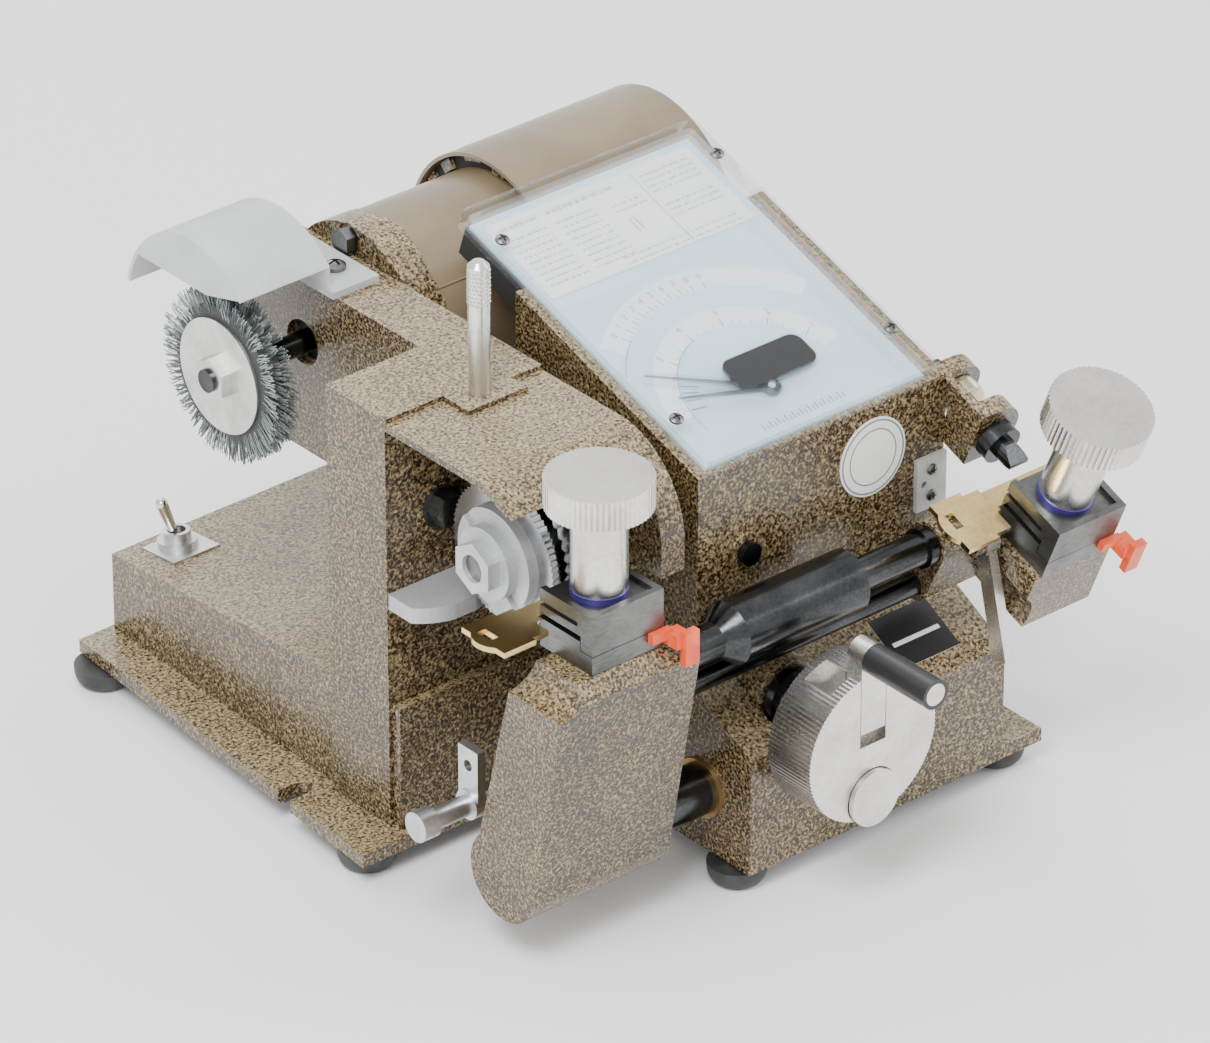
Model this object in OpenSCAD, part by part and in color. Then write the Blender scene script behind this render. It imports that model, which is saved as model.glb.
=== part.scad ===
// Bench-top key duplicating and code-cutting machine, in millimetres.
// X runs along the carriage to the operator's right, Y away from the operator, Z up from the bench.
// Sizes are measured from the front-left foot; place() then puts the origin under the middle of the machine.

/* [Base] */
// Height of the rubber feet
foot_h = 9; // [8:0.5:10]
// Diameter of the rubber feet
foot_d = 25; // [22:1:28]
// Top of the casting's flange above the bench
flange_top = 16; // [15:0.5:17]
// Height of the switch deck at its front edge
deck_front_z = 73; // [70:1:76]
// Height of the switch deck at its rear edge
deck_rear_z = 52; // [48:1:56]
// Wall thickness of the castings
wall = 4; // [3.5:0.5:5]

/* [Belt arm and motor] */
// Top of the column and belt arm
arm_top = 205; // [203:1:207]
// Radius of the motor's end bell
bell_r = 43; // [42:0.5:44]
// Radius of the motor's can
can_r = 42; // [40:0.5:42]
// Radius of the cover over the back of the motor
cover_r = 50; // [49:0.5:51]
// Radius of the deburring brush
brush_r = 38.5; // [36:0.5:38.5]
// Radius of the motor pulley's belt seat
motor_pulley_r = 14; // [13:0.5:16]
// Radius of the spindle pulley's belt seat
spindle_pulley_r = 17.5; // [16:0.5:17.5]

/* [Cutter] */
// Radius of the front cutter wheel
cutter_r = 31; // [29:0.5:31]
// Number of teeth on the front cutter wheel
cutter_teeth = 72; // [48:4:84]

/* [Dial housing] */
// Width of the clear dial cover
panel_w = 124; // [122:1:126]
// Length of the clear dial cover up its slope
panel_l = 161; // [158:1:164]
// Slope of the dial panel in degrees
panel_slope = 18.6; // [18:0.1:19]

/* [Carriage] */
// Diameter of the carriage shaft
shaft_d = 22; // [20:1:22]
// Distance between the two vises
vise_pitch = 206; // [204:1:208]
// Forward lean of the right vise and of the tracer in degrees
right_lean = 22; // [21:0.5:23]
// Diameter of the vise knobs
knob_d = 44; // [42:1:44]
// Diameter of the handwheel
wheel_d = 67; // [65:1:67]

/* [Hidden] */
$fn = 64;

eps = 0.01;
slack = 0.05;

// Colours
hammertone = [0.55, 0.46, 0.32];
motor_tan = [0.66, 0.56, 0.42];
light_metal = [0.75, 0.76, 0.76];
dark_steel = [0.3, 0.31, 0.3];
black_steel = [0.14, 0.15, 0.15];
nickel = [0.82, 0.81, 0.78];
brass = [0.78, 0.64, 0.33];

// Base: the left deck carries the switch, the housing stands on the right.
base_left = 10;
base_left_taper = 8;
base_front = -10;
base_rear = 190.5;
housing_left = 100.5;
housing_front = -120;
housing_right = 238;
housing_rear = 25;
lip_right = 260;
lip_rear = 192.5;
foot_places = [[0, 0], [4, 180], [106, -106], [247, -106], [247, 180]];
deck_slope = atan((deck_front_z - deck_rear_z) / (base_rear - base_front));

// Column and arm
column_left = 8.4;
column_front = -5;
column_rear = 32;
arm_left = 56;
arm_right = 84;
arm_bottom = 125;
arm_rear = 155;
nose_front = -72;

// Motor and brush axis, spindle axis
motor_y = 107;
motor_z = 175;
spindle_y = -46.5;
spindle_z = 152;
motor_shaft_d = 10;
spindle_d = 12;
bearing_d = 28;
belt_x0 = 67;
belt_x1 = 75;
belt_t = 3;
belt_gap = 0.3;
bell_x = 96;
cover_x0 = 153;
cover_x1 = 247;

// Hood over the cutter
hood_top = 202.8;
hood_bend_y = -58;
hood_bend_r = 40;
hood_t = 3;
cheek_left = 72;

// Dial panel
panel_x = 102;
panel_y = -88;
panel_z = 179;
cover_h = 8.5;
upper_right = 232;
upper_front = -87;
ledge_front_z = 64;
ledge_back_z = 82;
stop_pin_x = 125;
stop_pin_z = 138;
slot_y = 41;
slot_w = 9;
dial_pivot_u = 56.5;
dial_pivot_v = 26;

// Carriage: pivot axis, vise block and key plane
pivot_y = -90.5;
pivot_z = 38.5;
shaft_x0 = 2;
shaft_x1 = 210;
vise_x0 = 16.5;
vise_x1 = 53;
vise_front = -121.5;
vise_rear = -90;
vise_bottom = 138;
key_plane = 150.5;
key_t = 2.5;
clip_x1 = 63;
vise_top = 162;
skirt_z = 146.6;
skirt_t = 7;
knob_x = 34.75;
knob_y = -104.25;
knob_z0 = 201;
knob_z1 = 214;
stem_d = 23;
screw_d = 9;
upper_rod = [-110, 121];
lower_rod = [-102, 99];
rod_x0 = 67;
rod_x1 = 203;
gauge_x = 211;
gauge_pivot = [-131, 128];

// Handwheel, pinion and rack
wheel_x = 134;
wheel_z = 75;
wheel_y0 = -155;
wheel_y1 = -130;
crank_z = 115.5;
handle_l = 36;
pinion_teeth = 15;
gear_module = 2;
pinion_r = gear_module * pinion_teeth / 2;
rack_z = wheel_z - pinion_r;
rack_y0 = -82;
rack_y1 = -74;

// Latch rod
latch_x0 = -23;
latch_y = -60;
latch_z = 55;

// Tracer, measured in the leaning frame of the right vise
tracer_x = knob_x + 1.25 + vise_pitch;
tracer_z = 152;
tracer_tip = -77.5;
ring_d = 19;

// Lock pin
pin_x = 51;
pin_y = -12;
foot_top = 171;

function arc(r, a0, a1, c = [0, 0], n = 24) =
  [for (i = [0:n]) c + r * [cos(a0 + (a1 - a0) * i / n), sin(a0 + (a1 - a0) * i / n)]];

// Middle of the machine's outline: latch knob to right clip, crank handle to rear lip.
centre_x = (latch_x0 + clip_x1 + vise_pitch) / 2;
centre_y = (wheel_y0 - handle_l + lip_rear) / 2;

module place() {
  translate([-centre_x, -centre_y, 0]) children();
}

module block(lo, hi) {
  translate(lo) cube(hi - lo);
}

module rod_x(x0, x1, d, y, z) {
  translate([x0, y, z]) rotate([0, 90, 0]) cylinder(h = x1 - x0, d = d);
}

module rod_y(y0, y1, d, x, z) {
  translate([x, y1, z]) rotate([90, 0, 0]) cylinder(h = y1 - y0, d = d);
}

module rod_z(z0, z1, d, x, y) {
  translate([x, y, z0]) cylinder(h = z1 - z0, d = d);
}

// Extrudes a side outline, drawn in Y and Z, from x0 to x1.
module slab_x(x0, x1) {
  translate([x0, 0, 0]) rotate([90, 0, 90]) linear_extrude(x1 - x0) children();
}

// Extrudes a front outline, drawn in X and Z, from y0 to y1.
module slab_y(y0, y1) {
  translate([0, y1, 0]) rotate([90, 0, 0]) linear_extrude(y1 - y0) children();
}

module rounded_rectangle(w, l, r) {
  translate([r, 0]) square([w - 2 * r, l]);
  translate([0, r]) square([w, l - 2 * r]);
  for (x = [r, w - r], y = [r, l - r]) translate([x, y]) circle(r);
}

// Frame on the dial panel: x across, y up the slope, z out of the panel.
module on_panel() {
  translate([panel_x, panel_y, panel_z]) rotate([panel_slope, 0, 0]) children();
}

// Turns a piece drawn upright about the carriage shaft into the right-hand lean.
module leaning() {
  translate([0, pivot_y, pivot_z]) rotate([right_lean, 0, 0]) translate([0, -pivot_y, -pivot_z]) children();
}

module right_vise_place() {
  leaning() translate([vise_pitch, 0, 0]) children();
}

// Frame on the switch deck at the toggle switch, z along its bushing.
module on_deck() {
  x = 41;
  y = 175;
  z = deck_front_z - (y - base_front) * tan(deck_slope);
  translate([x, y, z]) rotate([-deck_slope, 0, 0]) children();
}

module hex_prism_x(x0, x1, flats, y, z) {
  translate([x0, y, z]) rotate([0, 90, 0]) cylinder(h = x1 - x0, d = flats / cos(30), $fn = 6);
}

module base_outline(inset) {
  polygon([
    [base_left + inset, base_front + inset],
    [housing_left - inset, base_front + inset],
    [housing_left - inset, housing_rear + inset],
    [housing_right - inset, housing_rear + inset],
    [housing_right - inset, base_rear - inset],
    [base_left + base_left_taper + inset, base_rear - inset]
  ]);
}

module deck_solid(inset, drop, z0) {
  intersection() {
    translate([0, 0, z0]) linear_extrude(100) base_outline(inset);
    slab_x(0, 250) polygon([
      [base_front - 20, 0],
      [base_rear + 20, 0],
      [base_rear + 20, deck_rear_z - drop - 20 * tan(deck_slope)],
      [base_front - 20, deck_front_z - drop + 20 * tan(deck_slope)]
    ]);
  }
}

module base_casting() {
  color(hammertone) difference() {
    union() {
      translate([0, 0, foot_h + 1]) linear_extrude(flange_top - foot_h - 1) polygon([
        [-14, -15], [housing_left, -15], [housing_left, housing_rear],
        [lip_right, housing_rear], [lip_right, lip_rear], [1, lip_rear]
      ]);
      deck_solid(0, 0, flange_top - eps);
      block([column_left, column_front, flange_top], [arm_right, column_rear, arm_bottom]);
      block([column_left, column_front, arm_bottom - eps], [arm_left, column_rear, arm_top]);
    }
    deck_solid(wall, wall, foot_h);
    block([column_left + wall, column_front + wall, foot_h], [arm_right - wall, column_rear - wall, arm_bottom - wall]);
    block([column_left + wall, column_front + wall, 100], [arm_left - wall, column_rear - wall, arm_top - wall]);
    block([-20, slot_y - slot_w / 2, foot_h], [-1, slot_y + slot_w / 2, flange_top + 1]);
    rod_z(foot_h, flange_top + 1, slot_w, -1, slot_y);
    on_deck() translate([0, 0, -wall * 2]) cylinder(h = wall * 4, d = 12.2);
  }
}

module base_plate() {
  color("dimgray") translate([0, 0, foot_h]) linear_extrude(1) difference() {
    polygon([
      [-11, -12], [housing_left + 3, -12], [housing_left + 3, housing_front + 3],
      [lip_right - 3, housing_front + 3], [lip_right - 3, lip_rear - 3], [4, lip_rear - 3]
    ]);
    translate([-20, slot_y - slot_w / 2]) square([19, slot_w]);
  }
}

module rubber_feet() {
  color([0.25, 0.26, 0.25]) for (p = foot_places) translate(p) rotate_extrude() polygon(concat(
    [[0, foot_h], [0, 0]],
    [for (a = [0:15:90]) [foot_d / 2 - 5 + 5 * sin(a), foot_h * 0.8 * (1 - cos(a))]],
    [[foot_d / 2, foot_h]]
  ));
}

module housing_side(inset) {
  top = tan(panel_slope);
  f = housing_front + inset;
  u = upper_front + inset;
  r = housing_rear - inset;
  drop = inset / cos(panel_slope);
  polygon([
    [f, 0], [f, ledge_front_z - inset / 2], [u, ledge_back_z - inset / 2],
    [u, panel_z + (u - panel_y) * top - drop], [r, panel_z + (r - panel_y) * top - drop], [r, 0]
  ]);
}

module dial_housing() {
  boss_r = 15;
  boss_rear = rack_y0 - 1.3;
  hub_relief_d = 29;
  stop_front = upper_front - 1.5;
  color(hammertone) difference() {
    union() {
      intersection() {
        slab_x(housing_left, housing_right) housing_side(0);
        union() {
          block([housing_left, -200, foot_h + 1], [housing_right, 100, ledge_back_z]);
          block([housing_left, -200, ledge_back_z - eps], [upper_right, 100, 300]);
        }
      }
      block([housing_right - eps, housing_front, foot_h + 1], [lip_right, housing_rear, flange_top]);
      rod_y(-104, boss_rear, boss_r * 2, wheel_x, wheel_z);
      rod_y(stop_front, upper_front + wall, 16, stop_pin_x, stop_pin_z);
      block([stop_pin_x - 8, stop_front, 118], [stop_pin_x + 8, upper_front + wall, stop_pin_z]);
    }
    difference() {
      slab_x(housing_left + wall, upper_right - wall) housing_side(wall);
      block([190, -200, foot_h], [198, -50, 70]);
      rod_y(housing_front, boss_rear, boss_r * 2 + 6, wheel_x, wheel_z);
    }
    rod_y(housing_front - 1, -104, hub_relief_d, wheel_x, wheel_z);
    rod_x(housing_left - 1, housing_left + wall + 1, 26, pivot_y, pivot_z);
    rod_x(189, 199, 26, pivot_y, pivot_z);
    rod_y(-105, upper_front + 8, 10 + 2 * slack, wheel_x, wheel_z);
    rod_x(housing_left - 1, housing_left + wall + 1, 9 + 2 * slack, latch_y, latch_z);
    rod_y(stop_front - 1, upper_front + 1, 10, stop_pin_x, stop_pin_z);
  }
}

module belt_arm() {
  color(hammertone) difference() {
    union() {
      block([arm_left, column_front, arm_bottom], [arm_right, arm_rear, arm_top]);
      block([arm_left + 2, nose_front, arm_bottom], [arm_right, column_front + eps, hood_top - 8]);
      block([arm_left + 2, hood_bend_y, hood_top - 9], [arm_right, column_front + eps, hood_top - hood_t]);
      block([38, -21, hood_top], [68.5, column_front + eps, arm_top]);
      block([68.4, -11, hood_top - hood_t - eps], [arm_right, column_front + eps, arm_top]);
    }
    block([arm_left + wall + 2, nose_front + wall, arm_bottom + wall], [arm_right - wall, arm_rear - wall, arm_top - wall - 3]);
    rod_x(arm_left - 1, arm_right + 1, bearing_d, spindle_y, spindle_z);
    rod_x(arm_left - 1, arm_right + 1, 20, motor_y, motor_z);
    rod_z(hood_top - 10, arm_top + 1, 9 + 2 * slack, pin_x, pin_y);
  }
}

// Side outline of the hood's outer face, inset by t.
module hood_outline(t, front_z) {
  r = hood_bend_r - t;
  c = [hood_bend_y, hood_top - hood_bend_r];
  polygon(concat(
    [[column_front, front_z], [column_front, hood_top - t]],
    arc(r, 90, 180, c),
    [[hood_bend_y - r, front_z]]
  ));
}

module spindle_hood() {
  nose_z = 194;
  cheek_z = 150;
  color(hammertone) difference() {
    union() {
      difference() {
        slab_x(column_left, arm_right) hood_outline(0, cheek_z);
        slab_x(column_left - 1, arm_right + 1) hood_outline(hood_t, cheek_z - 1);
        block([0, -200, 0], [cheek_left, 0, nose_z]);
      }
      slab_x(arm_right - hood_t, arm_right) difference() {
        hood_outline(1, cheek_z);
        translate([nose_front, 0]) square([100, 300]);
      }
      slab_x(cheek_left, cheek_left + hood_t) difference() {
        hood_outline(1, cheek_z);
        translate([nose_front, 0]) square([100, 300]);
      }
    }
    rod_z(hood_top - 10, arm_top + 1, 9.4, pin_x, pin_y);
    block([68.4, -11, 190], [arm_right + 1, 0, arm_top]);
  }
}

module chip_deflector() {
  color(light_metal) translate([0, 0, 118]) linear_extrude(7) intersection() {
    translate([9, -28]) square([44, 28 + column_front]);
    translate([30, 0]) circle(28.5);
  }
}

module hex_bolts() {
  column_bolt_x = 36;
  column_bolt_z = 156;
  color(dark_steel) {
    rod_y(column_front - 1.6, column_front, 18, column_bolt_x, column_bolt_z);
    translate([column_bolt_x, column_front - 1.6, column_bolt_z]) rotate([90, 0, 0])
      cylinder(h = 6, d = 13 / cos(30), $fn = 6);
    hex_prism_x(arm_right - 5, arm_right + 1, 10, motor_y + 4, motor_z + 36.5);
  }
}

module pan_screw(d, h) {
  difference() {
    intersection() {
      cylinder(h = h, d = d);
      translate([0, 0, h - d * 0.75]) sphere(d = d * 1.5);
    }
    for (a = [0, 90]) rotate([0, 0, a]) translate([-d / 3, -d / 16, h * 0.55]) cube([d / 1.5, d / 8, h]);
  }
}

module pan_screws() {
  color(dark_steel) {
    on_panel() for (p = [[5, 26], [panel_w - 5, 26], [5, panel_l - 22], [panel_w - 5, panel_l - 22]])
      translate([p[0], p[1], cover_h]) pan_screw(6, 2);
    translate([68, 100, arm_top + 3]) pan_screw(9, 3.5);
    for (z = [127, 139]) translate([224, upper_front - 2, z]) rotate([90, 0, 0]) pan_screw(5, 1.6);
    translate([216, upper_front, 96]) rotate([90, 0, 0]) pan_screw(5, 1.6);
  }
}

module switch_body() {
  color(light_metal) on_deck() difference() {
    union() {
      translate([-14, -7, -28]) cube([28, 14, 28 - wall]);
      translate([0, 0, -wall]) cylinder(h = wall + 8, d = 11.9);
    }
    translate([0, 0, -1]) cylinder(h = 10, d = 8);
  }
}

module switch_nut() {
  color(light_metal) on_deck() {
    difference() {
      translate([0, 0, 1]) cylinder(h = 3, d = 17);
      cylinder(h = 5, d = 11.9);
    }
    difference() {
      translate([-12, -13, 0]) cube([24, 22, 1]);
      translate([0, 0, -1]) cylinder(h = 3, d = 11.9);
    }
  }
}

module switch_lever() {
  color(nickel) on_deck() translate([0, 0, 3]) rotate([0, -18, 0]) {
    sphere(d = 5);
    cylinder(h = 20, d1 = 3, d2 = 5.6);
    translate([0, 0, 20]) sphere(d = 5.6);
  }
}

module motor_end_bell() {
  color(hammertone) difference() {
    union() {
      rod_x(arm_right, bell_x, bell_r * 2, motor_y, motor_z);
    }
    rod_x(arm_right + 8, bell_x + 1, (can_r - 3) * 2, motor_y, motor_z);
    rod_x(arm_right - 1, bell_x, motor_shaft_d + 2 * slack, motor_y, motor_z);
    rod_x(arm_right - 1, arm_right + 1, 13, motor_y + 4, motor_z + 36.5);
  }
}

module motor_can() {
  end_x = 238;
  color(motor_tan) difference() {
    rod_x(bell_x, end_x, can_r * 2, motor_y, motor_z);
    rod_x(bell_x - 1, end_x - 3, (can_r - 3) * 2, motor_y, motor_z);
    rod_x(end_x - 4, end_x + 1, motor_shaft_d + 2 * slack, motor_y, motor_z);
  }
}

module motor_cover() {
  color(motor_tan) {
    difference() {
      rod_x(cover_x0, cover_x1, cover_r * 2, motor_y, motor_z);
      rod_x(cover_x0 - 1, cover_x1 - 2, cover_r * 2 - 3.2, motor_y, motor_z);
    }
    difference() {
      rod_x(cover_x0 + 10, cover_x0 + 13, cover_r * 2 - 3.1, motor_y, motor_z);
      rod_x(cover_x0, cover_x0 + 20, can_r * 2, motor_y, motor_z);
      for (a = [0:30:330]) translate([cover_x0, motor_y, motor_z]) rotate([a, 0, 0])
        translate([0, -5, can_r + 1.5]) cube([20, 10, 4]);
    }
  }
}

module motor_shaft() {
  color(black_steel) {
    rod_x(6, 240, motor_shaft_d, motor_y, motor_z);
    rod_x(125, 205, 60, motor_y, motor_z);
  }
}

module belt_pulley(seat_r, bore_d, y, z) {
  difference() {
    union() {
      rod_x(belt_x0 - 1.5, belt_x1 + 1.5, seat_r * 2, y, z);
      rod_x(belt_x0 - 1.5, belt_x0 - 0.3, seat_r * 2 + 5, y, z);
      rod_x(belt_x1 + 0.3, belt_x1 + 1.5, seat_r * 2 + 5, y, z);
    }
    rod_x(belt_x0 - 3, belt_x1 + 3, bore_d, y, z);
  }
}

module motor_pulley() {
  color(light_metal) belt_pulley(motor_pulley_r, motor_shaft_d, motor_y, motor_z);
}

module spindle_pulley() {
  color(light_metal) belt_pulley(spindle_pulley_r, spindle_d, spindle_y, spindle_z);
}

// Outline of a belt run at distance t outside both pulley seats.
module belt_run(t) {
  dy = motor_y - spindle_y;
  dz = motor_z - spindle_z;
  rise = atan2(dz, dy);
  lift = acos((spindle_pulley_r - motor_pulley_r) / norm([dy, dz]));
  ra = spindle_pulley_r + t;
  rb = motor_pulley_r + t;
  a = [spindle_y, spindle_z];
  b = [motor_y, motor_z];
  up = [cos(rise + lift), sin(rise + lift)];
  down = [cos(rise - lift), sin(rise - lift)];
  translate(a) circle(ra);
  translate(b) circle(rb);
  polygon([a + ra * up, a + ra * down, b + rb * down, b + rb * up]);
}

module drive_belt() {
  color(black_steel) slab_x(belt_x0, belt_x1) difference() {
    belt_run(belt_gap + belt_t);
    belt_run(belt_gap);
  }
}

module brush_bristles() {
  color([0.5, 0.53, 0.53]) difference() {
    rod_x(13, 25, brush_r * 2, motor_y, motor_z);
    rod_x(12, 26, 48, motor_y, motor_z);
  }
}

module brush_hub() {
  color(light_metal) {
    difference() {
      union() {
        rod_x(14, 24, 48, motor_y, motor_z);
        rod_x(12.5, 13, 50, motor_y, motor_z);
        rod_x(12.9, 14.1, 47.9, motor_y, motor_z);
        rod_x(25, 25.5, 50, motor_y, motor_z);
        rod_x(23.9, 25.1, 47.9, motor_y, motor_z);
        rod_x(25, 34, 18, motor_y, motor_z);
      }
      rod_x(10, 40, motor_shaft_d, motor_y, motor_z);
    }
    difference() {
      hex_prism_x(7.5, 12.5, 17, motor_y, motor_z);
      rod_x(6, 14, motor_shaft_d, motor_y, motor_z);
    }
  }
}

// Points along the guard's arch, from its rear edge to its front edge, t inside the outer face.
function guard_arch(t) = [for (i = [0:32]) let (a = 12 + i * 126 / 32) [121 + (44 - t) * cos(a), 187 + (45.5 - t) * sin(a)]];

module brush_guard() {
  t = 1.8;
  outer = guard_arch(0);
  inner = guard_arch(t);
  skirt_z = 211;
  color([0.85, 0.86, 0.87, 0.8]) difference() {
    union() {
      slab_x(11, 56) polygon(concat(outer, [for (i = [32:-1:0]) inner[i]]));
      slab_x(11, 12.6) intersection() {
        polygon(outer);
        translate([80, skirt_z]) square([90, 60]);
      }
      slab_x(54, 56) intersection() {
        polygon(concat(outer, [[88, arm_top], [150, arm_top]]));
        translate([80, arm_top]) square([90, 60]);
      }
      block([54, 84, arm_top], [78, 154, arm_top + 3]);
    }
    rod_z(arm_top - 1, arm_top + 4, 4, 68, 100);
  }
}

module spindle_bearings() {
  color(light_metal) for (x = [arm_left + 2, arm_right - 7]) difference() {
    rod_x(x, x + 7, bearing_d, spindle_y, spindle_z);
    rod_x(x - 1, x + 8, spindle_d + 2 * slack, spindle_y, spindle_z);
  }
}

module spindle_shaft() {
  notches = 12;
  disc_r = 30;
  color(dark_steel) {
    rod_x(20, arm_right - 1, spindle_d, spindle_y, spindle_z);
    rod_x(38, 44, 28, spindle_y, spindle_z);
    difference() {
      rod_x(49, 53, disc_r * 2, spindle_y, spindle_z);
      for (i = [0:notches - 1]) translate([0, spindle_y, spindle_z]) rotate([16.5 + i * 360 / notches, 0, 0])
        block([48, disc_r - 2.6, -3.8], [54, disc_r + 9, 3.8]);
    }
  }
}

// Disc with straight-sided cutting teeth on its rim, lying in the YZ plane.
module toothed_disc(x0, x1, r, teeth, depth) {
  step = 360 / teeth;
  slab_x(x0, x1) translate([spindle_y, spindle_z]) difference() {
    polygon([for (i = [0:teeth - 1], k = [0, 1])
      (k == 0 ? r : r - depth) * [cos((i + k * 0.75) * step), sin((i + k * 0.75) * step)]]);
    circle(d = spindle_d);
  }
}

module cutter_wheels() {
  color(light_metal) {
    toothed_disc(34, 38, cutter_r, cutter_teeth, 1.2);
    toothed_disc(44, 49, cutter_r - 3, cutter_teeth / 2, 2);
  }
}

module cutter_nut() {
  color(light_metal) difference() {
    union() {
      hex_prism_x(18, 25, 20, spindle_y, spindle_z);
      rod_x(24, 30, 31, spindle_y, spindle_z);
      rod_x(29, 34, 44, spindle_y, spindle_z);
    }
    rod_x(17, 35, spindle_d, spindle_y, spindle_z);
    for (a = [45, 225]) translate([0, spindle_y, spindle_z]) rotate([a, 0, 0]) block([28, 13, -4], [31, 30, 4]);
  }
}

module lock_pin() {
  color(nickel) {
    rod_z(foot_top - eps, 262, 9, pin_x, pin_y);
    rod_z(foot_top - 5, foot_top, 13, pin_x, pin_y);
    translate([pin_x, pin_y, 262]) cylinder(h = 2, d1 = 9, d2 = 5);
  }
}

// Return spring, drawn as the plain sleeve that its coils fill.
module lock_spring() {
  color(dark_steel) difference() {
    rod_z(foot_top, hood_top - hood_t - 0.3, 12.4, pin_x, pin_y);
    rod_z(foot_top - 1, hood_top, 9.8, pin_x, pin_y);
  }
}

module dial_cover() {
  color([0.75, 0.88, 0.95, 0.4]) on_panel() difference() {
    linear_extrude(cover_h) rounded_rectangle(panel_w, panel_l, 3);
    translate([2.5, 2.5, -1]) linear_extrude(cover_h - 1.5) rounded_rectangle(panel_w - 5, panel_l - 5, 2);
  }
}

module dial_face() {
  color([0.7, 0.85, 0.93]) on_panel() {
    translate([4, 4, slack]) cube([panel_w - 8, panel_l - 8, 1.5]);
    translate([8, 107, 1.5]) cube([panel_w - 16, 46, 0.4]);
    translate([dial_pivot_u, dial_pivot_v, 1]) cylinder(h = 3.6, d = 3);
  }
}

module panel_back() {
  back_v = (housing_rear - panel_y) / cos(panel_slope);
  color([0.1, 0.1, 0.1]) intersection() {
    on_panel() translate([3, back_v, -14]) cube([panel_w - 6, panel_l - back_v - 3, 14]);
    block([0, housing_rear, 0], [300, 100, 300]);
  }
}

module labels() {
  color("white") {
    rod_y(upper_front - 0.5, upper_front, 35, 193, 155.5);
    translate([0, housing_front, ledge_front_z]) rotate([atan2(ledge_back_z - ledge_front_z, upper_front - housing_front), 0, 0])
      block([189, 9, 0], [220, 34, 0.5]);
    on_panel() translate([43, 28, cover_h - 3.5]) linear_extrude(1) rounded_rectangle(40, 16, 5);
  }
}

module dial_pointer(length, lift, angle) {
  on_panel() translate([dial_pivot_u, dial_pivot_v, lift]) rotate([0, 0, angle]) difference() {
    union() {
      cylinder(h = 0.8, d = 8);
      linear_extrude(0.5) polygon([[-1.2, 0], [1.2, 0], [0.3, length], [-0.3, length]]);
    }
    translate([0, 0, -1]) cylinder(h = 3, d = 3 + 2 * slack);
  }
}

module depth_pointer() {
  color("red") dial_pointer(52, 3.6, 57);
}

module space_pointer() {
  color("black") dial_pointer(40, 2.3, 71);
}

module tracer_holder() {
  ear_r = 14;
  color(hammertone) leaning() difference() {
    intersection() {
      union() {
        block([upper_right, -59.5, tracer_z - ear_r], [upper_right + 4, -27, tracer_z + ear_r]);
        for (y = [[-59.5, -51.5], [-34.5, -27]]) {
          rod_y(y[0], y[1], ear_r * 2, tracer_x, tracer_z);
          block([upper_right + 2, y[0], tracer_z - ear_r], [tracer_x, y[1], tracer_z + ear_r]);
        }
      }
      block([upper_right + 0.2, -70, tracer_z - 20], [upper_right + 40, -20, tracer_z + 20]);
    }
    rod_y(-61, -20, 10 + 2 * slack, tracer_x, tracer_z);
    rod_y(-44, -34.5 - eps, ring_d + 1.6, tracer_x, tracer_z);
  }
}

module holder_plate() {
  color(light_metal) difference() {
    block([216, upper_front - 2, 121], [upper_right, upper_front, 145]);
    rod_y(upper_front - 3, upper_front + 1, 3, 220, 133);
  }
}

module tracer_pin() {
  color(black_steel) leaning() {
    rod_y(-70, -20, 10, tracer_x, tracer_z);
    rod_y(-67, -60.8, 18, tracer_x, tracer_z);
    intersection() {
      rod_y(tracer_tip, -70 + eps, 10, tracer_x, tracer_z);
      slab_x(tracer_x - 6, tracer_x + 6) polygon([
        [tracer_tip, tracer_z - 1], [-69, tracer_z - 5], [-69, tracer_z + 5], [tracer_tip, tracer_z + 1]
      ]);
    }
  }
}

module micrometer_ring() {
  color(brass) leaning() difference() {
    rod_y(-43, -35, ring_d, tracer_x, tracer_z);
    rod_y(-44, -34, 10 + 2 * slack, tracer_x, tracer_z);
  }
}

module shaft_bushes() {
  color([0.62, 0.45, 0.25]) for (x = [housing_left, 190]) difference() {
    rod_x(x - 2, x + 5, 26, pivot_y, pivot_z);
    rod_x(x - 3, x + 6, shaft_d + 2 * slack, pivot_y, pivot_z);
  }
}

module stop_pin() {
  color(black_steel) rod_y(upper_front - 5, upper_front + 1, 10, stop_pin_x, stop_pin_z);
}

module carriage_shaft() {
  color(black_steel) rod_x(shaft_x0, shaft_x1, shaft_d, pivot_y, pivot_z);
}

module carriage_rack() {
  x0 = wheel_x - 17;
  x1 = wheel_x + 26;
  pitch = PI * gear_module;
  color(dark_steel) difference() {
    union() {
      block([x0, -90, 44], [x1, rack_y1, rack_z - 6]);
      slab_y(rack_y0, rack_y1) {
        translate([x0, rack_z - 7]) square([x1 - x0, 4.6]);
        for (i = [-2:3]) translate([wheel_x + (i + 0.5) * pitch, rack_z]) polygon([
          [-2.1, -3], [2.1, -3], [0.7, 1.7], [-0.7, 1.7]
        ]);
      }
    }
    rod_x(x0 - 1, x1 + 1, shaft_d, pivot_y, pivot_z);
  }
}

module left_leaf() {
  color(hammertone) difference() {
    union() {
      slab_x(-4, 67) {
        translate([pivot_y, pivot_z]) circle(19.5);
        polygon([
          [-109.8, 36], [-127.5, 131], [-122, vise_bottom], [-98, vise_bottom], [-76.5, 52], [-71.3, 41]
        ]);
      }
      rod_x(53, rod_x0, 30, upper_rod[0], upper_rod[1]);
    }
    rod_x(0, 68, shaft_d + 2 * slack, pivot_y, pivot_z);
    rod_y(-140, -60, 26, -5, vise_bottom + 2);
    block([53, -140, 133], [68, -60, 150]);
  }
}

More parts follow.
